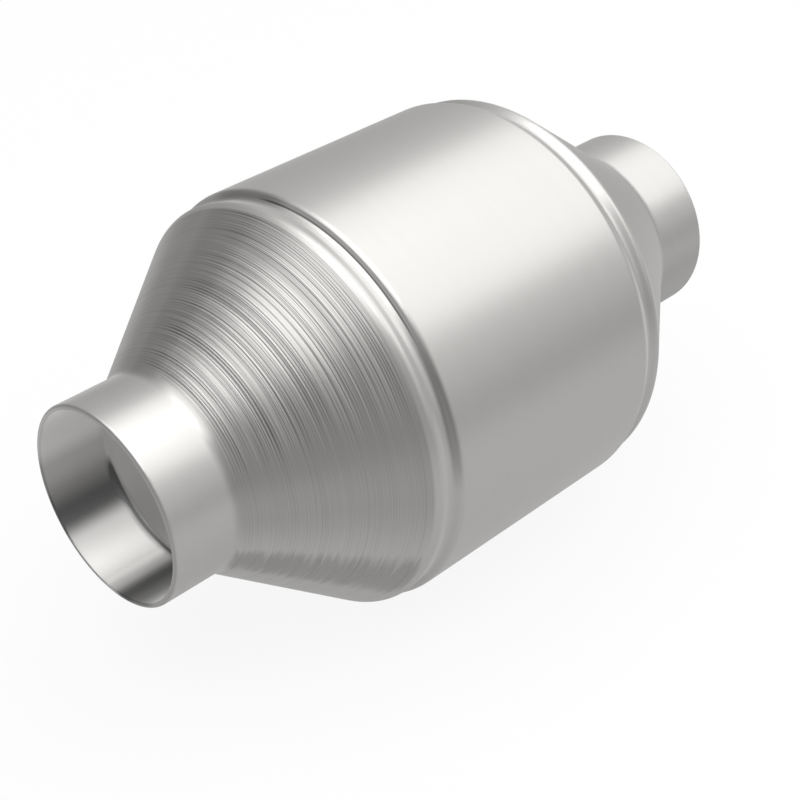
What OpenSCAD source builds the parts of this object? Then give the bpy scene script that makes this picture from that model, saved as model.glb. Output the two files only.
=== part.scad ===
// Round catalytic converter: one spun stainless steel shell with a cone and a pipe neck at each end.
// Inside it a ceramic honeycomb is held by a fibre mat and two knitted wire-mesh rings.
// The gas runs along X, in at -X and out at +X, and the origin is the middle of the shell, on its axis.

/* [Honeycomb] */
// Diameter of the ceramic honeycomb
brick_d = 118.4; // [95:0.1:150]
// Length of the ceramic honeycomb
brick_len = 76.2; // [50:0.1:150]
// Distance from one channel to the next
cell_pitch = 4.6; // [4.4:0.1:8]
// Thickness of the web between two channels
cell_web = 0.8; // [0.5:0.05:1.2]
// Least thickness of the solid skin around the channels
brick_skin = 1.2; // [0.8:0.1:3]

/* [Mat and seals] */
// Room for the mat between the honeycomb and the shell
mat_room = 4.3; // [3:0.1:7]
// Length of the wire-mesh seal at each end of the mat
seal_len = 5; // [3:0.1:8]
// Rounding of the wire-mesh seal's corners
seal_corner = 1.3; // [0.4:0.1:1.4]
// Width of the slit where the mat's two ends meet
mat_slit = 0.6; // [0.3:0.1:1]
// How far the mat's tongue reaches into its slot
tongue_reach = 15; // [8:1:25]
// Width of the mat's tongue, along the axis
tongue_len = 24; // [10:1:30]

/* [Shell body and steps] */
// Thickness of the sheet along the body, the step and the cone
wall = 1.5; // [1:0.1:2]
// From each face of the honeycomb to the corner where the shell steps down
end_room = 2.1; // [1.6:0.1:20]
// Bending radius of the edge between the body and the step
brow_r = 3.7; // [2:0.1:4]
// Length of the step, along the axis
step_len = 2.5; // [2:0.1:5]
// How far the foot of the step lies inside the body's surface
step_depth = 2.2; // [1.2:0.1:2.4]
// Bending radius at the foot of the step
foot_r = 3.2; // [1:0.1:3.4]
// Length of the ledge between the step and the cone
ledge_len = 4.9; // [4:0.1:12]
// How far the ledge rises from the foot of the step to the cone
ledge_rise = 0.8; // [0:0.1:1]
// Bending radius of the shoulder between the ledge and the cone
shoulder_r = 2.1; // [1.5:0.1:3]

/* [Cone and neck] */
// Length of the cone, along the axis
cone_len = 43.9; // [30:0.1:80]
// Bending radius of the hollow between the cone and the neck
throat_r = 9; // [3:0.5:14]
// Outside diameter of the neck
neck_od = 61.2; // [44:0.1:80]
// Length of the neck, from its corner with the cone to the mouth
neck_len = 21.5; // [14:0.5:60]
// Thickness of the neck, which spinning gathers a little
neck_wall = 1.6; // [1:0.1:2.2]
// Deburred edge of the mouth
mouth_edge = 0.2; // [0.1:0.05:0.4]

/* [Fits] */
// Gap between two round faces that seat on each other
seat_gap = 0.06; // [0.04:0.01:0.15]

/* [Hidden] */
$fn = 96;
arc_steps = 6;
cut_over = 1;
// Sharpest inside bend that the sheet takes, and the share of a straight that one bend may use up
least_bend = 0.2;
bend_share = 0.49;

steel = [0.76, 0.75, 0.73];
cordierite = [0.72, 0.66, 0.56];
fibre = [0.93, 0.92, 0.88];
wire = [0.60, 0.59, 0.58];

// Radii, from the honeycomb outwards
brick_r = brick_d / 2;
packing_r0 = brick_r + seat_gap;
bore_r = brick_r + mat_room;
packing_r1 = bore_r - seat_gap;
body_r = bore_r + wall;
step_r = body_r - step_depth;
ledge_r = step_r + ledge_rise;
neck_r = neck_od / 2;

// Distances from the middle, along the axis
x_face = brick_len / 2;
x_mat = x_face - seal_len;
x_brow = x_face + end_room;
x_foot = x_brow + step_len;
x_shoulder = x_foot + ledge_len;
x_throat = x_shoulder + cone_len;
x_mouth = x_throat + neck_len;

// Corners of the shell's outside from the middle to the mouth.
// Each is [distance along the axis, radius, bending radius, thickness of the stretch after it].
corners = [
    [0, body_r, 0, wall],
    [x_brow, body_r, brow_r, wall],
    [x_foot, step_r, foot_r, wall],
    [x_shoulder, ledge_r, shoulder_r, wall],
    [x_throat, neck_r, throat_r, neck_wall],
    [x_mouth, neck_r, 0, neck_wall]
];

function point(c) = [c[0], c[1]];
function left_of(v) = [-v[1], v[0]];
function turn_of(a, b) = a[0] * b[1] - a[1] * b[0];
function spun(v, t) = [v[0] * cos(t) - v[1] * sin(t), v[0] * sin(t) + v[1] * cos(t)];

// The vector from a corner to the next, and its direction
function stretch(path, i) = point(path[i + 1]) - point(path[i]);
function heading(path, i) = stretch(path, i) / norm(stretch(path, i));

// Where the line from p along u meets the line through q along v
function meeting(p, u, q, v) = p + u * turn_of(q - p, v) / turn_of(u, v);

// How far a bend of radius r reaches from its corner, kept within the straights beside it
function bend_reach(path, i, r) =
    let (turn = asin(turn_of(heading(path, i - 1), heading(path, i))))
    min(r * tan(abs(turn) / 2), bend_share * min(norm(stretch(path, i - 1)), norm(stretch(path, i))));

// The points of the bend at corner i, an arc that touches the straights on both sides
function bend_points(path, i) =
    let (
        before = heading(path, i - 1),
        turn = asin(turn_of(before, heading(path, i))),
        reach = bend_reach(path, i, path[i][2]),
        start = point(path[i]) - before * reach,
        spoke = left_of(before) * sign(turn) * reach / tan(abs(turn) / 2)
    )
    [for (k = [0:arc_steps]) start + spoke - spun(spoke, turn * k / arc_steps)];

// A path with its corners bent, from its second corner to its end
function bent(path) =
    let (last = len(path) - 1)
    [
        for (i = [1:last - 1]) each bend_points(path, i),
        point(path[last])
    ];

// A point on the inner face of the stretch after corner i
function inner_point(path, i) = point(path[i]) - left_of(heading(path, i)) * path[i][3];

// The inside of the sheet: every stretch moved in by its thickness, and every bend with the same centre
function inside(path) =
    let (last = len(path) - 1)
    [
        inner_point(path, 0),
        for (i = [1:last - 1])
            let (
                before = heading(path, i - 1),
                after = heading(path, i),
                corner = meeting(inner_point(path, i - 1), before, inner_point(path, i), after),
                bend = path[i][2] + sign(turn_of(before, after)) * path[i][3]
            )
            [corner[0], corner[1], max(bend, least_bend)],
        point(path[last]) - left_of(heading(path, last - 1)) * path[last - 1][3]
    ];

// Both halves of a path, from the inlet's mouth to the outlet's
function both_halves(half) =
    concat([for (i = [len(half) - 1:-1:0]) [-half[i][0], half[i][1]]], half);

// A profile of [distance along the axis, radius] points, turned about X
module turned(profile) {
    rotate([0, 90, 0])
        rotate_extrude()
            polygon([for (p = profile) [p[1], p[0]]]);
}

// A ring about X with flat ends
module ring(x0, x1, r0, r1) {
    turned([[x0, r0], [x1, r0], [x1, r1], [x0, r1]]);
}

// The shell's section, with the mouth's edges broken inside and outside
function shell_half(path, side) =
    let (half = bent(path), mouth = half[len(half) - 1])
    [
        for (i = [0:len(half) - 2]) half[i],
        mouth - [mouth_edge, 0],
        mouth - [0, side * mouth_edge]
    ];

// Spun from one tube: body, step, ledge, cone and neck at each end
module shell() {
    outer = both_halves(shell_half(corners, 1));
    inner = both_halves(shell_half(inside(corners), -1));
    color(steel)
        turned(concat(outer, [for (i = [len(inner) - 1:-1:0]) inner[i]]));
}

// Square channels, whole ones only, inside the skin
module channels() {
    cell = cell_pitch - cell_web;
    rows = floor(brick_r / cell_pitch);
    for (i = [-rows:rows])
        for (j = [-rows:rows])
            if (norm([abs(i) * cell_pitch + cell / 2, abs(j) * cell_pitch + cell / 2]) < brick_r - brick_skin)
                translate([i, j] * cell_pitch)
                    square(cell, center = true);
}

// Extruded honeycomb that carries the catalyst coating
module substrate() {
    color(cordierite)
        rotate([0, 90, 0])
            linear_extrude(brick_len, center = true)
                difference() {
                    circle(brick_r);
                    channels();
                }
}

// The slit between the mat's two ends, seen from above: straight, around the tongue, and straight on
module slit_outline() {
    a = tongue_len / 2 - mat_slit / 2;
    b = tongue_len / 2 + mat_slit / 2;
    near = tongue_reach / 2 - mat_slit / 2;
    far = tongue_reach / 2 + mat_slit / 2;
    end = x_mat + cut_over;
    polygon([
        [-end, far], [-a, far], [-a, -near], [a, -near], [a, far], [end, far],
        [end, near], [b, near], [b, -far], [-b, -far], [-b, near], [-end, near]
    ]);
}

// Fibre mat wrapped once around the honeycomb, its two ends met by a tongue in a slot at the top
module support_mat() {
    color(fibre)
        difference() {
            ring(-x_mat, x_mat, packing_r0, packing_r1);
            linear_extrude(packing_r1 + cut_over)
                slit_outline();
        }
}

// Knitted wire pressed into a ring that shields the mat's edge from the gas
module mesh_seal(x0) {
    x1 = x0 + seal_len;
    c = seal_corner;
    centres = [
        [x0 + c, packing_r0 + c],
        [x1 - c, packing_r0 + c],
        [x1 - c, packing_r1 - c],
        [x0 + c, packing_r1 - c]
    ];
    color(wire)
        turned([
            for (q = [0:3])
                for (k = [0:arc_steps])
                    let (a = 180 + 90 * (q + k / arc_steps))
                    centres[q] + c * [cos(a), sin(a)]
        ]);
}

module inlet_seal() {
    mesh_seal(-x_face);
}

module outlet_seal() {
    mesh_seal(x_mat);
}

shell();
substrate();
support_mat();
inlet_seal();
outlet_seal();
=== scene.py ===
# %% [markdown]
# # A spun catalytic converter, dressed in Blender
# The CAD model holds the real sizes of the converter: a steel shell, the ceramic honeycomb inside it, the
# fibre mat round the honeycomb and a knitted wire seal at each end of the mat. It is loaded first and stays
# where it is. Every piece made below has its place in the same frame, in metres: the gas runs along X, and Z
# is up.

import math
import random

import bmesh
import bpy
from mathutils import Matrix, Vector, geometry, noise


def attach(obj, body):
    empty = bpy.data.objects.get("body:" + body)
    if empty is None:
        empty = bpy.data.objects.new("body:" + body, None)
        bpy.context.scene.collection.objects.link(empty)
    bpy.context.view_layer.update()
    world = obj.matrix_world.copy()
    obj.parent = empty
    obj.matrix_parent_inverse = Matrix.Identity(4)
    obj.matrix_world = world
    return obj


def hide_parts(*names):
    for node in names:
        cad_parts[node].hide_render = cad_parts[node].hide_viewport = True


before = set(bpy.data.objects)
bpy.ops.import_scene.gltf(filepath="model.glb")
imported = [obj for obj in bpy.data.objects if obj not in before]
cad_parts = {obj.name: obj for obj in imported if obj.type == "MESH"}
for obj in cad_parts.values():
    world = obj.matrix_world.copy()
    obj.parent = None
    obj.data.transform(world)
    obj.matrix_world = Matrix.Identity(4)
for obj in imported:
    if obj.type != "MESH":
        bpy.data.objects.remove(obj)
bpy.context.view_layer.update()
print("CAD nodes:", ", ".join(sorted(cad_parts)))

# %% [markdown]
# ## The camera
# The photograph was taken with a long lens, from the inlet's side and from above, so the near mouth shows its
# inside and the far neck only its rim. A camera that looks level has a rotation of 90 degrees about X. Taking
# 35 degrees off tips it down, and the turn about Z aims it along the converter.

# %% Camera
LOOK_DOWN = 34.98
HEADING = 44.76
STANDPOINT = (-0.30865, -0.30629, 0.28369)
FOCAL_LENGTH, SENSOR_WIDTH = 75.76, 36

camera = bpy.data.objects.new("camera", bpy.data.cameras.new("camera"))
bpy.context.scene.collection.objects.link(camera)
bpy.context.scene.camera = camera
camera.location = STANDPOINT
camera.rotation_euler = (math.radians(90 - LOOK_DOWN), 0, math.radians(HEADING - 90))
camera.data.sensor_width = SENSOR_WIDTH
camera.data.lens = FOCAL_LENGTH
bpy.context.scene.view_settings.view_transform = "Standard"
print("camera to the origin, mm:", round(camera.location.length * 1000, 1))

# %% [markdown]
# ## A shorthand for shader nodes
# Shader maths is easier to read as an expression than as a list of nodes and links. This class holds one
# output socket. Its operators add Math nodes, and `node` adds any other kind: first the settings, then what
# goes in.

# %% Shader shorthand
class Signal:
    """One output socket of a node tree. Its sums and products are Math nodes in the same tree."""

    def __init__(self, tree, socket=None):
        self.tree = tree
        self.socket = socket

    def node(self, kind, settings=None, inputs=None, out=0):
        """Adds a node, sets it up, fills or links its inputs, and gives the signal of one output."""
        made = self.tree.nodes.new("ShaderNode" + kind)
        for name, value in (settings or {}).items():
            setattr(made, name, value)
        for key, value in (inputs or {}).items():
            if isinstance(value, Signal):
                self.tree.links.new(value.socket, made.inputs[key])
            else:
                made.inputs[key].default_value = value
        return Signal(self.tree, made.outputs[out]) if made.outputs else None

    def math(self, operation, *values):
        return self.node("Math", {"operation": operation}, dict(enumerate(values)))

    def __add__(self, other): return self.math("ADD", self, other)
    def __radd__(self, other): return self.math("ADD", other, self)
    def __sub__(self, other): return self.math("SUBTRACT", self, other)
    def __rsub__(self, other): return self.math("SUBTRACT", other, self)
    def __mul__(self, other): return self.math("MULTIPLY", self, other)
    def __rmul__(self, other): return self.math("MULTIPLY", other, self)
    def __truediv__(self, other): return self.math("DIVIDE", self, other)
    def __pow__(self, other): return self.math("POWER", self, other)

    def between(self, low, high, start=0.0, end=1.0):
        """Smoothly from start to end while this signal goes from low to high."""
        return self.node(
            "MapRange", {"interpolation_type": "SMOOTHSTEP"}, {0: self, 1: low, 2: high, 3: start, 4: end}
        )

    def blend(self, one, other):
        """The colour one where this signal is 0, and other where it is 1."""
        return self.node("Mix", {"data_type": "RGBA"}, {0: self, 6: one, 7: other}, out=2)

    def vector(self, x, y, z):
        return self.node("CombineXYZ", {}, {0: x, 1: y, 2: z})

    def parts(self):
        """The three signals of a vector."""
        split = self.node("SeparateXYZ", {}, {0: self})
        return [Signal(self.tree, socket) for socket in split.socket.node.outputs]


def new_material(name):
    """An empty material, and the signal of its Object coordinates."""
    material = bpy.data.materials.new(name)
    material.use_nodes = True
    material.node_tree.nodes.clear()
    return material, Signal(material.node_tree).node("TexCoord", out=3)


def finish_material(shader):
    """Puts a shader on the material's output."""
    shader.node("OutputMaterial", {}, {"Surface": shader})


print("reflected operators:", [name for name in vars(Signal) if name.startswith("__r")])

# %% [markdown]
# ## Floor and light
# The photograph has a white floor and soft studio light. Satin steel has hardly any colour of its own, so
# what it reflects is its whole look. The floor could be made white by more light, but then the object would
# be too bright as well. So the floor glows plain white for the camera and in reflections, where that white
# fades away from the object. A small part of it stays a diffuse surface, which keeps the object's shadow.

# %% Floor
FLOOR_HEIGHT = -0.0652
FLOOR_RADIUS = 6
FLOOR_GLOW = 0.91
MIRRORED_GLOW = 0.82
FADE_START, FADE_END, FADE = 0.28, 0.66, 0.70
WHITE, BLACK, PAPER = (1, 1, 1, 1), (0, 0, 0, 1), (0.5, 0.5, 0.5, 1)

floor_mesh = bmesh.new()
bmesh.ops.create_circle(floor_mesh, cap_ends=True, segments=96, radius=FLOOR_RADIUS)
bmesh.ops.translate(floor_mesh, verts=floor_mesh.verts, vec=(0, 0, FLOOR_HEIGHT))
floor = bpy.data.objects.new("floor", bpy.data.meshes.new("floor"))
floor_mesh.to_mesh(floor.data)
bpy.context.scene.collection.objects.link(floor)
print("floor at, mm:", round(FLOOR_HEIGHT * 1000, 1))

# %% White floor
white_floor, where = new_material("white_floor")
camera_ray, glossy_ray, through_ray = [
    where.node("LightPath", out=name) for name in ("Is Camera Ray", "Is Glossy Ray", "Is Transmission Ray")
]
floor_x, floor_y, _ = where.parts()
from_middle = (floor_x * floor_x + floor_y * floor_y) ** 0.5
fading = from_middle.between(FADE_START, FADE_END, 0.0, FADE).blend(WHITE, BLACK)
paper = where.node("BsdfDiffuse", {}, {"Color": PAPER})
white = where.node("Emission", {}, {"Color": WHITE, "Strength": 1.0})
mirrored = where.node("Emission", {}, {"Color": fading, "Strength": 1.0})
looked_at = where.node("MixShader", {}, {0: camera_ray * FLOOR_GLOW, 1: paper, 2: white})
reflected = (glossy_ray + through_ray) * MIRRORED_GLOW
finish_material(where.node("MixShader", {}, {0: reflected, 1: looked_at, 2: mirrored}))
floor.data.materials.append(white_floor)
print("nodes in the floor:", len(white_floor.node_tree.nodes))

# %% [markdown]
# The room around the floor is grey. It is lighter towards the outlet and darker on the far side. Two windows
# in it are soft patches of light. The wide one is on the camera's right. The low one is on the inlet's side,
# where the steep wall of the inlet's step reflects it. A plain grey world would be simpler, but the steel
# would lose the slow changes along its sides.

# %% The room
ROOM_DARK, ROOM_BRIGHT = 0.38, 0.60
FAR_SIDE = 0.6
WINDOW_GLOW, LOW_WINDOW_GLOW = 0.52, 0.40

room = bpy.data.worlds.new("studio")
bpy.context.scene.world = room
room.use_nodes = True
room.node_tree.nodes.clear()
direction = Signal(room.node_tree).node("TexCoord")
along, across, upwards = direction.parts()


def towards(x, y, z):
    """How near the view direction is to another one, 1 where they are the same."""
    return along * x + across * y + upwards * z


window, low_window = towards(0.45, -0.74, 0.50), towards(-0.965, 0.215, 0.15)
grey = along.between(0.50, 0.92, ROOM_DARK, ROOM_BRIGHT) * across.between(0.50, 0.85, 1.0, FAR_SIDE)
grey = grey + window.between(0.80, 0.99) * WINDOW_GLOW + low_window.between(0.92, 0.98) * LOW_WINDOW_GLOW
light = along.node("Background", {}, {"Color": WHITE, "Strength": grey})
along.node("OutputWorld", {}, {"Surface": light})
print("room from", ROOM_DARK, "to", ROOM_BRIGHT)

# %% [markdown]
# Two round softboxes give the two highlights: one beyond the outlet lights the body and the necks, and one
# overhead lights the inlet's cone and the white floor. An area lamp's power says little about how bright it
# looks in the steel, so each is set by its brightness, and its power is worked out from that and its size.

# %% Two softboxes
LAMP_DISTANCE = 1.5


def softbox(name, azimuth, height, half_angle, brightness):
    """A round lamp that faces the origin: where it stands, how wide it looks from there, and how bright."""
    lamp = bpy.data.objects.new(name, bpy.data.lights.new(name, "AREA"))
    bpy.context.scene.collection.objects.link(lamp)
    lamp.data.shape = "DISK"
    lamp.data.size = 2 * LAMP_DISTANCE * math.tan(math.radians(half_angle))
    lamp.data.energy = brightness * math.pi * math.pi * (lamp.data.size / 2) ** 2
    up, turned = math.radians(height), math.radians(azimuth)
    outwards = Vector((math.cos(up) * math.cos(turned), math.cos(up) * math.sin(turned), math.sin(up)))
    lamp.location = outwards * LAMP_DISTANCE
    lamp.rotation_euler = outwards.to_track_quat("Z", "Y").to_euler()
    print(name, "is", round(lamp.data.size, 2), "m across")


softbox("outlet_softbox", azimuth=-10, height=56, half_angle=35.2, brightness=2.10)
softbox("overhead_softbox", azimuth=195, height=77, half_angle=33.2, brightness=3.60)

# %% [markdown]
# ## The shell
# The real shell starts as one piece of tube. Rollers press it in at both ends while it spins, and that leaves
# the step, the narrow ledge, the cone and the neck. A lathe shape is made from half of its section, so a pen
# draws the section once: it is extruded along each straight and spun through each bend, which gives true
# arcs. The other end is drawn the same way with a gentler step, and one full spin about X makes the shell.

# %% Sizes of the shell, in millimetres
MM = 0.001
WALL = 1.5
NECK_WALL = 1.6
BODY_R, NECK_R = 65.0, 30.6
X_THROAT, X_MOUTH = 91.5, 113.0
MOUTH_ROUND, MOUTH_EDGE = 0.9, 0.2
SHOULDER_BEND, THROAT_BEND = 1.7, 5.6
LEAST_BEND = 0.2

# Each corner is its distance along the axis, its radius, its bend and the thickness of the sheet after it.
# The inlet's step is crisp, with a crease at its foot, and the outlet's is gentler.
inlet_step = [
    (40.94, BODY_R, 2.04, WALL), (41.85, 63.13, 0.3, WALL), (42.7, 62.68, 2.2, WALL),
    (44.3, 62.68, 3.0, WALL), (46.7, 63.5, 3.0, WALL),
]
outlet_step = [
    (39.2, BODY_R, 2.4, WALL), (42.9, 62.6, 2.4, WALL), (44.2, 62.6, 2.4, WALL), (46.0, 63.5, 2.0, WALL),
]


def half_outside(step, x_shoulder):
    """The outside from the middle to the mouth: the body, its step and ledge, the cone and the neck."""
    shoulder = (x_shoulder, step[-1][1], SHOULDER_BEND, WALL)
    throat = (X_THROAT, NECK_R, THROAT_BEND, NECK_WALL)
    mouth = (X_MOUTH, NECK_R, MOUTH_ROUND, NECK_WALL)
    return [(0, BODY_R, 0, WALL), *step, shoulder, throat, mouth]


inlet_half, outlet_half = half_outside(inlet_step, 47.9), half_outside(outlet_step, 47.1)
print("corners on the outside of a half:", len(inlet_half))

# %% The inside of the sheet
def moved_in(one, other, wall):
    """A straight from one corner to the next, moved in by the wall's thickness."""
    a, b = Vector((*one[:2], 0)), Vector((*other[:2], 0))
    inwards = (b - a).normalized().cross(Vector((0, 0, 1))) * wall
    return a + inwards, b + inwards


def inner_corners(outside):
    """Where neighbouring straights of the inner wall meet, each bend with the same centre as outside."""
    lines = [moved_in(outside[i], outside[i + 1], outside[i][3]) for i in range(len(outside) - 1)]
    corners = [(lines[0][0].x, lines[0][0].y, 0)]
    for i in range(1, len(lines)):
        meet = geometry.intersect_line_line(*lines[i - 1], *lines[i])[0]
        before, after = lines[i - 1][1] - lines[i - 1][0], lines[i][1] - lines[i][0]
        thicker = WALL if before.cross(after).z > 0 else -WALL
        corners.append((meet.x, meet.y, max(outside[i][2] + thicker, LEAST_BEND)))
    corners.append((lines[-1][1].x, lines[-1][1].y, MOUTH_EDGE))
    return corners


sections = [[corner[:3] for corner in half] + inner_corners(half)[::-1] for half in (inlet_half, outlet_half)]
print("bore radius, mm:", round(sections[0][len(inlet_half)][1], 2))

# %% Draw the section
BEND_STEP = math.radians(6)
GUARD = 0.35
TOUCHING = 0.001


def extend(bm, pen, target):
    """Moves the pen in a straight line, and gives its new vertex."""
    pen = bmesh.ops.extrude_vert_indiv(bm, verts=[pen])["verts"][0]
    pen.co = target
    return pen


def straight(bm, pen, target):
    """A straight with a short guard stretch at each end, so that smooth shading leaves its middle flat."""
    way = target - pen.co
    if way.length > 3 * GUARD:
        pen = extend(bm, pen, pen.co + way.normalized() * GUARD)
        pen = extend(bm, pen, target - way.normalized() * GUARD)
    return extend(bm, pen, target)


def draw(bm, corners):
    """Adds a line of edges through the corners, round at each bend."""
    points = [Vector((x, r, 0)) for x, r, bend in corners]
    pen = bm.verts.new(points[0])
    for i in range(1, len(points) - 1):
        before, after = (points[i] - points[i - 1]).normalized(), (points[i + 1] - points[i]).normalized()
        turn = before.cross(after).z
        angle = math.asin(max(-1, min(1, turn)))
        reach = corners[i][2] * math.tan(abs(angle) / 2)
        pen = straight(bm, pen, points[i] - before * reach)
        side = Vector((-before.y, before.x, 0)) * math.copysign(corners[i][2], turn)
        steps = max(2, round(abs(angle) / BEND_STEP))
        spun = bmesh.ops.spin(
            bm, geom=[pen], cent=pen.co + side, axis=(0, 0, 1), angle=angle, steps=steps,
            use_merge=False, use_normal_flip=False, use_duplicate=False,
        )
        pen = [v for v in spun["geom_last"] if isinstance(v, bmesh.types.BMVert)][0]
    straight(bm, pen, points[-1])


shell_mesh = bmesh.new()
draw(shell_mesh, sections[0])
bmesh.ops.scale(shell_mesh, vec=(-1, 1, 1), verts=shell_mesh.verts)
draw(shell_mesh, sections[1])
middle = [v for v in shell_mesh.verts if abs(v.co.x) < TOUCHING]
bmesh.ops.remove_doubles(shell_mesh, verts=middle, dist=TOUCHING)
print("points on the section:", len(shell_mesh.verts))
print("loose ends:", sum(len(v.link_edges) != 2 for v in shell_mesh.verts))

# %% Spin the shell
ROUND_STEPS = 200
MARK_PITCH = 0.23
PAST_STEP = -45
LONG_RISE = 20


def cone_edge(bm):
    """The long edge of the inlet's cone, on the outside."""
    inlet_side = [e for e in bm.edges if all(v.co.x < PAST_STEP for v in e.verts)]
    sloped = [e for e in inlet_side if abs(e.verts[0].co.y - e.verts[1].co.y) > LONG_RISE]
    return max(sloped, key=lambda e: e.verts[0].co.y + e.verts[1].co.y)


edge = cone_edge(shell_mesh)
rows = round(edge.calc_length() / MARK_PITCH)
cone_low, cone_high = sorted((v.co.copy() for v in edge.verts), key=lambda co: co.x)
bmesh.ops.subdivide_edges(shell_mesh, edges=[edge], cuts=rows - 1)
bmesh.ops.spin(
    shell_mesh, geom=shell_mesh.verts[:] + shell_mesh.edges[:], cent=(0, 0, 0), axis=(1, 0, 0),
    angle=2 * math.pi, steps=ROUND_STEPS, use_merge=True, use_normal_flip=False, use_duplicate=False,
)
print("rings on the cone:", rows - 1)

# %% [markdown]
# ## Roller marks on the inlet cone
# In the photograph the roller has left fine, uneven rings on the inlet's cone, and the rest of the shell is
# smooth. A bump could draw them, but marks that are real shape are there in every light and view. The cone
# was cut into many thin rings before the spin. Now each ring moves in or out by some hundredths of a
# millimetre, by an amount of its own that comes and goes round the cone and is largest where the photograph
# shows it.

# %% Roller marks
MARK_DEPTH = 0.033
DEEP_SHARE, DEEP_GAIN = 0.20, 2.0
STEADY = 0.35
COME_AND_GO = 0.55
NEXT_RING = 3.7
DEEPEST_Y, DEEPEST_Z = -0.39, 0.92
DEPTH_AWAY = 0.35
ON_SURFACE = 0.01
END_GAP = 0.001

roller = random.Random(11)
strength = [DEEP_GAIN if roller.random() < DEEP_SHARE else 1.0 for ring in range(rows + 1)]
steady = [roller.uniform(-STEADY, STEADY) for ring in range(rows + 1)]
slope = (cone_high - cone_low).normalized()
moved = 0
for v in shell_mesh.verts:
    part = (v.co.x - cone_low.x) / (cone_high.x - cone_low.x)
    radius = math.hypot(v.co.y, v.co.z)
    if END_GAP < part < 1 - END_GAP and abs(radius - cone_low.lerp(cone_high, part).y) < ON_SURFACE:
        ring = round(part * rows)
        around = Vector((ring * NEXT_RING, v.co.y / radius * COME_AND_GO, v.co.z / radius * COME_AND_GO))
        on_top = max(0, v.co.z * DEEPEST_Z + v.co.y * DEEPEST_Y) / radius
        depth = MARK_DEPTH * strength[ring] * (DEPTH_AWAY + (1 - DEPTH_AWAY) * on_top)
        lift = depth * (steady[ring] + noise.noise(around))
        v.co += lift * Vector((-slope.y, slope.x * v.co.y / radius, slope.x * v.co.z / radius))
        moved += 1
bmesh.ops.scale(shell_mesh, vec=(MM, MM, MM), verts=shell_mesh.verts)
bmesh.ops.recalc_face_normals(shell_mesh, faces=shell_mesh.faces)
print("points moved:", moved)

# %% [markdown]
# ## From a mesh to a piece
# Each finished mesh becomes an object at the origin that rides on the one body and stands for a CAD node. The
# pieces are left out of glossy rays. With them in, the inside of a mouth reflects itself over and over and
# turns far darker than in the photograph, so the steel's own material holds the shade there.

# %% Pieces
def add_piece(bm, name, node, smooth=True):
    """Makes an object of the mesh. It rides on the one body and stands for a CAD node."""
    for face in bm.faces:
        face.smooth = smooth
    piece = bpy.data.objects.new(name, bpy.data.meshes.new(name))
    bm.to_mesh(piece.data)
    triangles = sum(len(face.verts) - 2 for face in bm.faces)
    loose = sum(not e.is_manifold for e in bm.edges)
    volume = bm.calc_volume(signed=True) * 1e6
    bm.free()
    bpy.context.scene.collection.objects.link(piece)
    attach(piece, "root")
    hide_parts(node)
    piece.visible_glossy = False
    print(f"{name}: {triangles} triangles, {loose} open edges, {volume:.1f} cm3")
    return piece


shell = add_piece(shell_mesh, "spun_shell", "shell")

# %% [markdown]
# ## Satin steel
# Bare stainless steel with a satin face is a metal with a middling roughness. The spinning leaves hair-fine
# rings all over it, too small for the mesh, so a bump draws them: a noise that changes quickly along the axis
# and slowly round it. The direction from the axis takes the place of the angle, because an angle jumps where
# it comes full circle and a direction doesn't.
#
# Two lamps and a plain room don't give every shade of the photograph's studio. The masks below shade some
# places by where they are on the steel, so they match the photograph from its own side, and they stay in
# place in every other view.

# %% Places on the steel
steel, where = new_material("satin_stainless")
x, y, z = where.parts()
radius = (y * y + z * z) ** 0.5
side_y, side_z = y / radius, z / radius
distance = x.math("ABSOLUTE", x)


def facing(angle):
    """The cosine of the turn about X between a point and an angle, which is 0 on top and 90 towards -Y."""
    return side_z * math.cos(math.radians(angle)) - side_y * math.sin(math.radians(angle))


def hump(signal, rise, fall):
    """1 between two soft edges and 0 beyond them. Each edge is the two values that it goes between."""
    return signal.between(*rise) * signal.between(*fall, 1.0, 0.0)


def band(place, rise, fall):
    """The same between two edges in millimetres."""
    return hump(place, [edge * MM for edge in rise], [edge * MM for edge in fall])


def rings(pitch, length, detail=2.0):
    """Noise from 0 to 1 in thin rings, by their pitch in millimetres and how often they change round X."""
    place = x.vector(x / (pitch * MM), side_y * length, side_z * length)
    return x.node("TexNoise", {"noise_dimensions": "3D"}, {"Vector": place, "Scale": 1.0, "Detail": detail})


print("steel is", WALL, "mm thick, and", NECK_WALL, "mm at the necks")

# %% [markdown]
# A point is inside the shell where it lies well under the line of the outside, which is level along a neck,
# rises along the cone and is held at the foot of the step. The sheet is 1.5 mm thick, so half of that parts
# its two faces. The rollers worked the cones hardest, and the steel is a little darker there. On the inlet's
# cone that darker tone lies only on the upper part, as painted shade, and the lower part keeps the plain
# tone.
# The cut faces of the two mouths are darker as well.

# %% Inside, outside and worked parts
CONE_SLOPE = 0.7517
STEP_FOOT_R = 62.6
CONE_END = (-49.7, -49.0)
CONE_EDGES, WORKED_EDGES = [(-90.7, -90.3), CONE_END], [(-94.0, -90.6), CONE_END]

cone_line = NECK_R * MM + x.math("MAXIMUM", X_THROAT * MM - distance, 0.0) * CONE_SLOPE
inner = (x.math("MINIMUM", cone_line, STEP_FOOT_R * MM) - radius).between(0.7 * MM, 0.8 * MM)
outer = 1 - inner
on_cone = band(x, *CONE_EDGES) * outer
worked = band(x, *WORKED_EDGES) * outer
worked_less = band(x, (48.0, 49.0), (89.5, 93.0)) * outer
# Painted shade: the darker worked tone is kept to the upper part of the inlet's cone.
painted_top_shade = side_z.between(-0.35, 0.05)
cut_face = distance.between(112.4 * MM, 112.9 * MM)
print("edges of the inlet's cone, mm:", CONE_EDGES)
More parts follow.
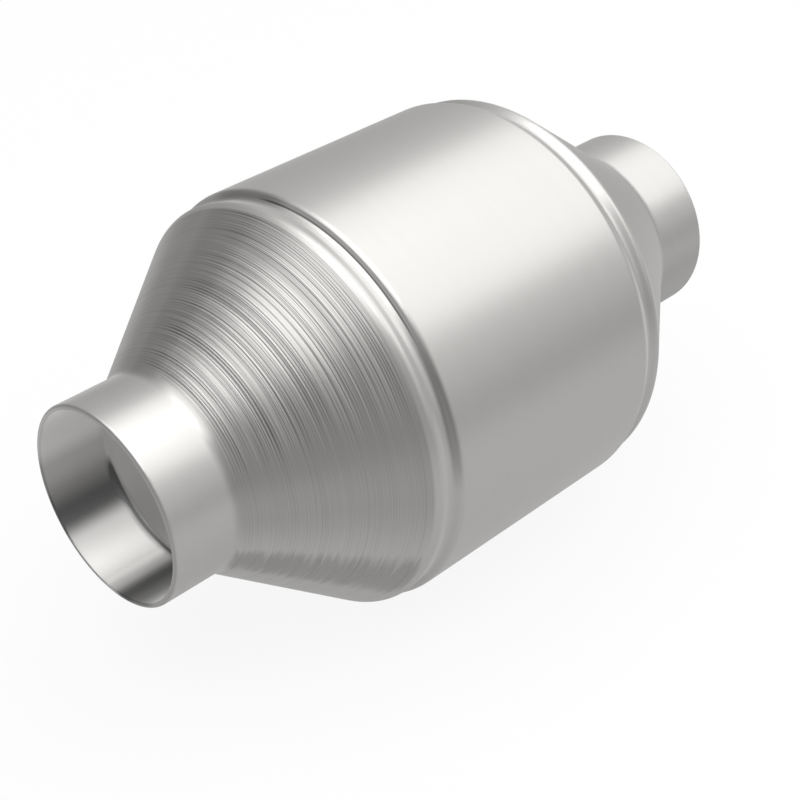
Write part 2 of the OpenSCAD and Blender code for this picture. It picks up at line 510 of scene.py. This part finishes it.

# %% [markdown]
# ### The inlet's step
# In the photograph the step is one of the darkest places of the steel. A thin crease runs along its foot on
# top, a soft shade lies over the step beyond it, and the steep wall is dark on the near side. The mesh has
# the crease and the wall, but the lamps are too large to shade them as deeply, so three tints of painted
# shade
# do it: a dark line in the crease, a soft band over the step and a dark band on the wall.

# %% Painted shade at the step
CREASE_SIDE, BROW_SIDE, WALL_SIDE = 18, -17, 66

foot_line = band(x, (-42.05, -41.90), (-41.75, -41.60))
brow_line = band(x, (-41.5, -41.3), (-41.2, -41.0))
# Painted shade: a dark line along the crease at the step's foot, and a fainter one on its brow.
crease_shade = (foot_line * 0.7 + brow_line * 0.2) * facing(CREASE_SIDE).between(0.85, 0.92) * outer
# Painted shade: a soft band over the step, and a dark band on its steep wall on the near side.
brow_shade = band(x, (-44.2, -42.2), (-41.2, -39.8)) * facing(BROW_SIDE).between(0.955, 0.995) * outer
step_wall_shade = band(x, (-43.2, -41.8), (-41.2, -40.2)) * facing(WALL_SIDE).between(0.91, 1.0) * outer
print("tints at the step, degrees from the top:", CREASE_SIDE, BROW_SIDE, WALL_SIDE)

# %% [markdown]
# ### The inside of a mouth
# A steel tube loses light between its walls, so bands of painted shade run along its inside, with painted
# light between them. The far wall is painted light at its top, passes through a half tone and is darkest a
# little below half height. At the bottom there is a second dark band with a painted light strip beside it.
# All of them end at the fold where the cone begins. A thin painted dark line follows the lower half of that
# fold, and the cone behind it is painted slightly darker. The edges of a band are cosines of the turn about
# X, so each pair of numbers is where it starts and where it is full.

# %% Painted shade and light in the mouths
LIGHT_SIDE, LIGHT_STRIP = -70, -176.5
FAR_TOP, FAR_LOW = -60, -130
NEAR_LOW, BOTTOM = 130, 170
NECK_START, NECK_FULL = 90.5, 92.5

in_neck = inner * distance.between(NECK_START * MM, NECK_FULL * MM)
# Painted light: a lighter tone at the top of the far wall and along a strip at the bottom.
painted_light_wall = in_neck * (facing(LIGHT_SIDE).between(0.60, 0.95) + facing(LIGHT_STRIP).between(0.9926, 1.0))

# Painted shade: a half tone and a dark band down the far wall.
up_wall = facing(FAR_TOP)
half_tone = up_wall.between(-0.44, 0.07) * 0.27 + up_wall.between(0.35, 0.60) * 0.16
darkest = hump(up_wall, (0.14, 0.36), (0.42, 0.68)) * 0.68
far_shade = half_tone * up_wall.between(0.81, 0.94, 1.0, 0.0) + darkest
far_shade = far_shade * facing(FAR_LOW).between(0.2, 0.55) * in_neck

# Painted shade: a dark band low on the near side.
near_wall = facing(NEAR_LOW)
low_shade = hump(near_wall, (0.649, 0.743), (0.94, 0.9945)) * near_wall.between(0.766, 0.866, 0.78, 0.45)
low_shade = low_shade * facing(BOTTOM).between(0.70, 0.80) * in_neck
print("the inside of a neck starts at, mm:", NECK_START)

# %% Painted shade at the fold
WIDE_FOLD, THIN_FOLD = [(89.8, 91.2), (91.8, 94.0)], [(90.4, 91.1), (91.5, 92.6)]

# Painted shade: a dark line along the lower half of the fold.
fold = band(distance, *WIDE_FOLD) * 0.4 + band(distance, *THIN_FOLD) * 0.5
fold = fold * inner * side_z.between(-0.45, -0.25, 1.0, 0.0)
# Painted shade: the cone behind the fold is slightly darker.
past_fold_shade = inner * distance.between(89.0 * MM, 91.2 * MM, 1.0, 0.0)
print("edges of the fold's shade, mm:", WIDE_FOLD)

# %% [markdown]
# ### Broad shades outside
# Three more painted shades are laid on the outside where the photograph has them. A soft band of painted
# shade lies beside the highlight on the inlet's cone. Low on the same cone a torn dark streak of painted
# shade runs from the step to the neck. The outlet's neck has painted shade underneath.

# %% Broad painted shades
BAND_SIDE, STREAK_SIDE, UNDERSIDE = -14, 121, 130
TORN = 0.04

# Painted shade: a soft dark band beside the highlight on the inlet's cone.
shade_beside_highlight = worked * facing(BAND_SIDE).between(0.975, 0.998)
# Painted shade: a torn dark streak low on the inlet's cone.
torn = facing(STREAK_SIDE) + (rings(1.1, 3.0) - 0.5) * TORN
streak_shade = worked * torn.between(0.975, 1.0)
# Painted shade on the underside of the outlet's neck.
under = facing(UNDERSIDE)
neck_under = under.between(0.55, 0.82) * 0.22 + under.between(0.92, 1.0) * 0.13
neck_under = neck_under * x.between(NECK_START * MM, 93.0 * MM) * outer
print("broad shades, degrees from the top:", BAND_SIDE, STREAK_SIDE, UNDERSIDE)

# %% [markdown]
# ### Lines of the roller
# Between the marks that are real shape lie finer lines. The roller's feed leaves one every 0.66 mm. One noise
# shifts these lines and another lets them fade. Thin dark hairlines and light and dark scratches are laid
# over them. The feed lines are real grooves in the bump, and their dark colour is painted shade in the
# grooves. The hairlines are real marks drawn only as painted dark lines, and the scratches are partly painted
# sheen and partly painted shade. All three are deepest on the side of the inlet's cone that the photograph
# lights, which is painted light.

# %% Lines and scratches
FEED = 0.66
FEED_SHIFT = 9
LIT_SIDE = 23

# Painted light: the lines' contrast is strongest on the lit side of the inlet's cone.
lit_side = facing(LIT_SIDE).between(0.70, 0.93, 0.12, 1.0)
hair = rings(0.3, 3.0)
wave = rings(0.5, 0.5, 0.0)
feed = x.math("SINE", x * (2 * math.pi / (FEED * MM)) + rings(2.5, 0.5, 1.0) * FEED_SHIFT)
# Feed lines: real grooves in the bump, painted darker in colour as shade in the grooves.
line = feed.between(0.3, 0.95) * wave.between(0.34, 0.60) * on_cone
# Hairlines, drawn only as painted dark lines.
hairline = rings(0.3, 0.35, 0.0).between(0.27, 0.37, 1.0, 0.0) * on_cone
# Scratches, partly painted sheen and partly painted shade.
scratch_sheen_and_shade = rings(0.2, 0.8, 1.0).between(0.32, 0.68)
print("feed of the roller, mm:", FEED)

# %% [markdown]
# ### Colour, roughness and bump
# First comes the plain steel, faintly uneven along the axis, then the worked tone with its painted shade on
# top of the inlet's cone, the painted light on the wall of a neck and the scratches. The masks of painted
# shade are added up with a share each, and one blend lays them all over the steel, so that they can't make it
# black where they meet.

# %% Satin steel
PLAIN_STEEL = (0.380, 0.374, 0.365, 1), (0.392, 0.386, 0.377, 1)
WORKED_STEEL = (0.294, 0.288, 0.281, 1)
# Painted light on the wall of a neck.
PAINTED_LIGHT_WALL = (0.52, 0.512, 0.50, 1)
# Colours of the scratches: a painted shade and a painted sheen.
SCRATCH_SHEEN_AND_SHADE = (0.16, 0.157, 0.154, 1), (0.50, 0.492, 0.48, 1)
SHADE, MOST_SHADE = (0.08, 0.08, 0.08, 1), 0.97
HAIR_HEIGHT, LESS_ON_CONE, LINE_DEPTH = 0.0025, 0.0012, 0.020
ROUGHNESS = 0.350

# The worked tone, as painted shade only on top of the inlet's cone.
tone = (worked * painted_top_shade + worked_less).blend(rings(4.0, 2.0).blend(*PLAIN_STEEL), WORKED_STEEL)
# Painted light on the wall of a neck.
tone = painted_light_wall.blend(tone, PAINTED_LIGHT_WALL)
# The scratches' painted sheen and shade, on the lit side of the inlet's cone.
tone = (on_cone * lit_side * 0.5).blend(tone, scratch_sheen_and_shade.blend(*SCRATCH_SHEEN_AND_SHADE))
# Painted shade: each mask darkens the steel by its share.
shades = [
    (line * lit_side, 0.85), (hairline * lit_side, 0.5), (brow_shade, 0.5), (crease_shade, 1.0), (step_wall_shade, 0.5),
    (streak_shade, 0.36), (shade_beside_highlight, 0.24), (neck_under, 1.0), (cut_face, 0.3), (fold, 1.0), (past_fold_shade, 0.12),
    (far_shade, 1.0), (low_shade, 1.0),
]
dark = sum(mask * share for mask, share in shades)
tone = dark.math("MINIMUM", dark, MOST_SHADE).blend(tone, SHADE)
height = hair * (HAIR_HEIGHT - on_cone * LESS_ON_CONE) - line * lit_side * LINE_DEPTH
bump = x.node("Bump", {}, {"Strength": 1.0, "Distance": MM, "Height": height})
rough = ROUGHNESS - on_cone * 0.01 + line * 0.06 - inner * 0.05 + wave * 0.02
finish_material(x.node("BsdfPrincipled", {}, {
    "Base Color": tone, "Metallic": 0.66, "Roughness": rough, "Specular IOR Level": 0.0, "Normal": bump
}))
shell.data.materials.append(steel)
print("nodes in the steel:", len(steel.node_tree.nodes))

# %% [markdown]
# ## The honeycomb
# The ceramic is extruded with square channels 1.27 mm apart, 400 to the square inch, and webs 0.165 mm thick.
# The CAD model holds it with coarser channels, because thousands of them slow a solid model down. A grid of
# square faces is the quickest start for a mesh: each face is inset by half a web and removed, which leaves
# the webs. Channels that the skin would cut through are left out of the grid, and the gap between its stepped
# edge and a circle is filled for the skin. One extrusion gives it all its length.

# %% Honeycomb
CELL_PITCH = 1.27
WEB = 0.165
BRICK_R = 59.2
BRICK_SKIN = 0.6
BRICK_LENGTH = 76.2

cells_across = 2 * math.floor(BRICK_R / CELL_PITCH) + 1
brick = bmesh.new()
bmesh.ops.create_grid(
    brick, x_segments=cells_across, y_segments=cells_across, size=cells_across * CELL_PITCH / 2
)
cut_off = [f for f in brick.faces if max(v.co.length for v in f.verts) > BRICK_R - BRICK_SKIN]
bmesh.ops.delete(brick, geom=cut_off, context="FACES")
cells = brick.faces[:]
bmesh.ops.inset_individual(brick, faces=cells, thickness=WEB / 2, use_even_offset=True)
stairs = [e for e in brick.edges if e.is_boundary]
bmesh.ops.delete(brick, geom=cells, context="FACES_ONLY")
rim = bmesh.ops.create_circle(brick, segments=192, radius=BRICK_R)["verts"]
rim_edges = list(dict.fromkeys(e for v in rim for e in v.link_edges))
bmesh.ops.triangle_fill(brick, edges=stairs + rim_edges, use_beauty=True, use_dissolve=False)
print("channels:", len(cells))

# %% Extrude the honeycomb
webs = brick.faces[:]
pushed = bmesh.ops.extrude_face_region(brick, geom=webs)["geom"]
top = [v for v in pushed if isinstance(v, bmesh.types.BMVert)]
bmesh.ops.translate(brick, verts=top, vec=(0, 0, BRICK_LENGTH))
bmesh.ops.translate(brick, verts=brick.verts, vec=(0, 0, -BRICK_LENGTH / 2))
bmesh.ops.rotate(brick, verts=brick.verts, cent=(0, 0, 0), matrix=Matrix.Rotation(math.pi / 2, 3, "Y"))
bmesh.ops.scale(brick, vec=(MM, MM, MM), verts=brick.verts)
bmesh.ops.recalc_face_normals(brick, faces=brick.faces)
honeycomb = add_piece(brick, "honeycomb", "substrate", smooth=False)

# %% [markdown]
# The ceramic carries a coat with the catalyst in it, which is brown and a little patchy. Its pores are far
# too small for a mesh, so a fine noise makes them as a bump and varies the roughness, and a coarse one makes
# the patches.

# %% Coated ceramic
PORE_DEPTH = 0.0001

ceramic, where = new_material("coated_ceramic")
coat_patches = where.node("TexNoise", {}, {"Vector": where, "Scale": 55.0, "Detail": 3.0})
grain = where.node("TexNoise", {}, {"Vector": where, "Scale": 4000.0, "Detail": 2.0})
coat = coat_patches.between(0.35, 0.65).blend((0.30, 0.245, 0.185, 1), (0.37, 0.31, 0.24, 1))
pores = coat_patches.node("Bump", {}, {"Strength": 0.5, "Distance": PORE_DEPTH, "Height": grain})
finish_material(
    coat.node("BsdfPrincipled", {}, {"Base Color": coat, "Roughness": 0.8 + grain * 0.15, "Normal": pores})
)
honeycomb.data.materials.append(ceramic)
print("nodes in the ceramic:", len(ceramic.node_tree.nodes))

# %% [markdown]
# ## The fibre mat
# A mat of ceramic fibre, pressed to 4 mm, wraps once round the honeycomb and holds it. It is cut from a flat
# sheet with a tongue at one end and a slot at the other, which meet at the top with a thin slit between them.
# A line along X is spun nearly full circle for the sheet. Then only the middle of its first edge is spun on,
# for the tongue, and only the two sides of its last edge, for the slot. The thickness comes last.

# %% Wrap the sheet
MAT_R0, MAT_R1 = 59.3, 63.4
MAT_HALF_LENGTH = 33.1
TONGUE_HALF, SLOT_HALF = 11.7, 12.3
TONGUE_REACH, SLOT_REACH, MAT_MIDDLE = 7.2, 7.8, 61.35
TONGUE_TIP, SLOT_END = math.asin(TONGUE_REACH / MAT_MIDDLE), math.asin(SLOT_REACH / MAT_MIDDLE)
MAT_CELL = 1.5
SLACK = 0.01


def spin_about_x(bm, geom, angle, merge=False):
    """Sweeps points and edges about X, in steps about as long as a cell of the mat."""
    steps = max(1, round(abs(angle) * MAT_R1 / MAT_CELL))
    return bmesh.ops.spin(
        bm, geom=geom, cent=(0, 0, 0), axis=(1, 0, 0), angle=angle, steps=steps,
        use_merge=merge, use_normal_flip=False, use_duplicate=False,
    )["geom_last"]


def strip(geom, reach_low, reach_high):
    """The edges of a line along X between two distances from the middle, with their points."""
    edges = [e for e in geom if isinstance(e, bmesh.types.BMEdge)]
    kept = [e for e in edges if all(reach_low - SLACK < abs(v.co.x) < reach_high + SLACK for v in e.verts)]
    return kept + list(dict.fromkeys(v for e in kept for v in e.verts))


mat = bmesh.new()
pen = mat.verts.new((-MAT_HALF_LENGTH, MAT_R0, 0))
for stop in (-SLOT_HALF, -TONGUE_HALF, TONGUE_HALF, SLOT_HALF, MAT_HALF_LENGTH):
    pen = extend(mat, pen, Vector((stop, MAT_R0, 0)))
for edge in [e for e in mat.edges if e.calc_length() > MAT_CELL]:
    bmesh.ops.subdivide_edges(mat, edges=[edge], cuts=round(edge.calc_length() / MAT_CELL) - 1)
bmesh.ops.rotate(
    mat, verts=mat.verts, cent=(0, 0, 0), matrix=Matrix.Rotation(math.pi / 2 - SLOT_END, 3, "X")
)
first = mat.verts[:] + mat.edges[:]
last = spin_about_x(mat, first, 2 * SLOT_END - 2 * math.pi)
spin_about_x(mat, strip(first, 0, TONGUE_HALF), SLOT_END + TONGUE_TIP)
spin_about_x(mat, strip(last, SLOT_HALF, MAT_HALF_LENGTH), -SLOT_END - TONGUE_TIP)
print("cells of the sheet:", len(mat.faces))

# %% Thickness and felt
FELT, FELT_SCALE = 0.05, 0.35
SOFT_EDGE = 0.25

pushed = bmesh.ops.extrude_face_region(mat, geom=mat.faces[:])["geom"]
outside = [v for v in pushed if isinstance(v, bmesh.types.BMVert)]
bmesh.ops.scale(mat, vec=(1, MAT_R1 / MAT_R0, MAT_R1 / MAT_R0), verts=outside)
for v in mat.verts:
    lift = 1 + FELT * noise.noise(v.co * FELT_SCALE) / MAT_R0 - FELT / MAT_R0
    v.co.y, v.co.z = v.co.y * lift, v.co.z * lift
bmesh.ops.recalc_face_normals(mat, faces=mat.faces)
cut_edges = [e for e in mat.edges if e.calc_face_angle(0) > 1]
bmesh.ops.bevel(
    mat, geom=cut_edges, offset=SOFT_EDGE, segments=2, profile=0.5, affect="EDGES", material=-1
)
bmesh.ops.scale(mat, vec=(MM, MM, MM), verts=mat.verts)
fibre_mat = add_piece(mat, "fibre_mat", "support_mat")

# %% [markdown]
# The mat is a pale wool of ceramic fibre with flakes of a brown mineral in it, which swell with heat and
# tighten the mat. Single fibres would be far too many to model, so a noise makes the wool as a bump. Cells of
# a Voronoi texture make the flakes, and a coarse noise gathers them in places.

# %% Fibre
FLUFF_DEPTH = 0.0003

felt, where = new_material("fibre_mat")
fluff = where.node("TexNoise", {}, {"Vector": where, "Scale": 1400.0, "Detail": 4.0})
clouds = where.node("TexNoise", {}, {"Vector": where, "Scale": 90.0, "Detail": 3.0})
flakes = where.node("TexVoronoi", {"feature": "F1"}, {"Vector": where, "Scale": 620.0})
flake = flakes.between(0.18, 0.30, 1.0, 0.0) * clouds.between(0.42, 0.56)
wool = clouds.blend((0.60, 0.58, 0.53, 1), (0.50, 0.48, 0.43, 1))
felt_colour = flake.blend(wool, (0.42, 0.32, 0.18, 1))
felt_bump = where.node("Bump", {}, {"Strength": 0.8, "Distance": FLUFF_DEPTH, "Height": fluff + flake * 0.4})
finish_material(where.node("BsdfPrincipled", {}, {
    "Base Color": felt_colour, "Roughness": 0.93 - flake * 0.3, "Normal": felt_bump
}))
fibre_mat.data.materials.append(felt)
print("nodes in the felt:", len(felt.node_tree.nodes))

# %% [markdown]
# ## The knitted wire seals
# A sleeve of knitted steel wire, folded and pressed into a ring, keeps the gas off each edge of the mat. The
# wire could be a bump on a plain ring, but its loops stand up by more than their own thickness, so real loops
# are laid over a dense core. The core's section is one face with rounded corners, spun once round.

# %% Core of a seal
SEAL_LENGTH = 5.0
SEAL_HEIGHT = MAT_R1 - MAT_R0
SEAL_RADIUS = (MAT_R0 + MAT_R1) / 2
X_FACE = 38.1
PILE = 0.42
CORE_CORNER = 0.9


def seal_core(middle):
    """The pressed middle of a seal, a little smaller than the seal all round."""
    bm = bmesh.new()
    bmesh.ops.create_grid(bm, x_segments=1, y_segments=1, size=0.5)
    bmesh.ops.scale(bm, vec=(SEAL_LENGTH - 2 * PILE, SEAL_HEIGHT - 2 * PILE, 1), verts=bm.verts)
    bmesh.ops.translate(bm, vec=(middle, SEAL_RADIUS, 0), verts=bm.verts)
    bmesh.ops.bevel(
        bm, geom=bm.verts[:], offset=CORE_CORNER, segments=3, profile=0.5, affect="VERTICES", material=-1
    )
    bmesh.ops.delete(bm, geom=bm.faces[:], context="FACES_ONLY")
    spin_about_x(bm, bm.verts[:] + bm.edges[:], 2 * math.pi, merge=True)
    bmesh.ops.recalc_face_normals(bm, faces=bm.faces)
    return bm


print("height of a seal, mm:", round(SEAL_HEIGHT, 2))

# %% [markdown]
# Each course of the knitting is one closed wire that runs round the ring in loops. A loop swings to both
# sides of its course, leans over at its head and foot, and dips under the next course. The courses lie side
# by side around the section, so a point of the wire is first placed on the section and then turned about X.

# %% A course of loops
COURSES = 9
LOOPS = 150
POINTS_PER_LOOP = 10
WIRE_RADIUS = 0.13
WIRE_DEPTH = 0.25
SEAL_ROUND = 1.1
BEYOND_SEAL = 3.2
SWING, LEAN, DIP = 0.78, 1.15, 0.07
KNIT = random.Random(4)


def on_section(turn, lift):
    """A point round the seal's section, from its middle: on a rounded rectangle, and out from it by lift."""
    aim = Vector((math.cos(turn), math.sin(turn))) * BEYOND_SEAL
    half_x, half_r = [side / 2 - WIRE_DEPTH - SEAL_ROUND for side in (SEAL_LENGTH, SEAL_HEIGHT)]
    near = Vector((max(-half_x, min(half_x, aim.x)), max(-half_r, min(half_r, aim.y))))
    return near + (aim - near).normalized() * (SEAL_ROUND + lift)


def course(curve, index, middle):
    """Adds one closed wire, looping from side to side of its course, with every loop a little different."""
    spline = curve.splines.new("POLY")
    spline.points.add(LOOPS * POINTS_PER_LOOP - 1)
    sizes = [
        (KNIT.uniform(0.7, 1.05), KNIT.uniform(-0.12, 0.12), KNIT.uniform(-0.05, 0.05))
        for loop in range(LOOPS)
    ]
    for i, point in enumerate(spline.points):
        swing, lean, lift = sizes[i // POINTS_PER_LOOP]
        phase = 2 * math.pi * i / POINTS_PER_LOOP
        fade = 0.5 - 0.5 * math.cos(phase)
        around = (phase + LEAN * math.sin(2 * phase) + lean * fade) / LOOPS
        side = on_section(
            2 * math.pi * (index + SWING * (1 + (swing - 1) * fade) * math.cos(phase)) / COURSES,
            DIP * math.cos(2 * phase) + lift * fade,
        )
        reach = SEAL_RADIUS + side.y
        point.co = (middle + side.x, reach * math.cos(around), reach * math.sin(around), 1)
    spline.use_cyclic_u = True


def seal(name, node, middle):
    """Core and wires of one seal, with its middle at a distance along X."""
    curve = bpy.data.curves.new(name + "_wires", "CURVE")
    curve.dimensions = "3D"
    curve.bevel_depth = WIRE_RADIUS
    curve.bevel_resolution = 0
    for index in range(COURSES):
        course(curve, index, middle)
    drawn_wires = bpy.data.objects.new(name + "_wires", curve)
    bm = seal_core(middle)
    bm.from_mesh(bpy.data.meshes.new_from_object(drawn_wires))
    bpy.data.objects.remove(drawn_wires)
    bmesh.ops.scale(bm, vec=(MM, MM, MM), verts=bm.verts)
    return add_piece(bm, name, node)


seals = [
    seal("inlet_wire_seal", "inlet_seal", SEAL_LENGTH / 2 - X_FACE),
    seal("outlet_wire_seal", "outlet_seal", X_FACE - SEAL_LENGTH / 2),
]

# %% [markdown]
# The wire is bare steel, drawn thin and a little stained. The loops are real shape, so the material only has
# to vary the tone and the roughness from place to place, and a fine bump keeps the highlights on the wires
# from being perfect.

# %% Wire
SCUFF_DEPTH = 0.0003
STAINED, CLEAN = (0.36, 0.35, 0.33, 1), (0.50, 0.49, 0.47, 1)

wire, where = new_material("knitted_wire")
strands = where.node("TexNoise", {}, {"Vector": where, "Scale": 1500.0, "Detail": 2.0})
finish_material(where.node("BsdfPrincipled", {}, {
    "Base Color": strands.blend(STAINED, CLEAN), "Metallic": 1.0, "Roughness": 0.3 + strands * 0.2,
    "Normal": where.node("Bump", {}, {"Strength": 0.7, "Distance": SCUFF_DEPTH, "Height": strands}),
}))
for ring in seals:
    ring.data.materials.append(wire)
print("seals with wire on them:", len(seals))

# %% [markdown]
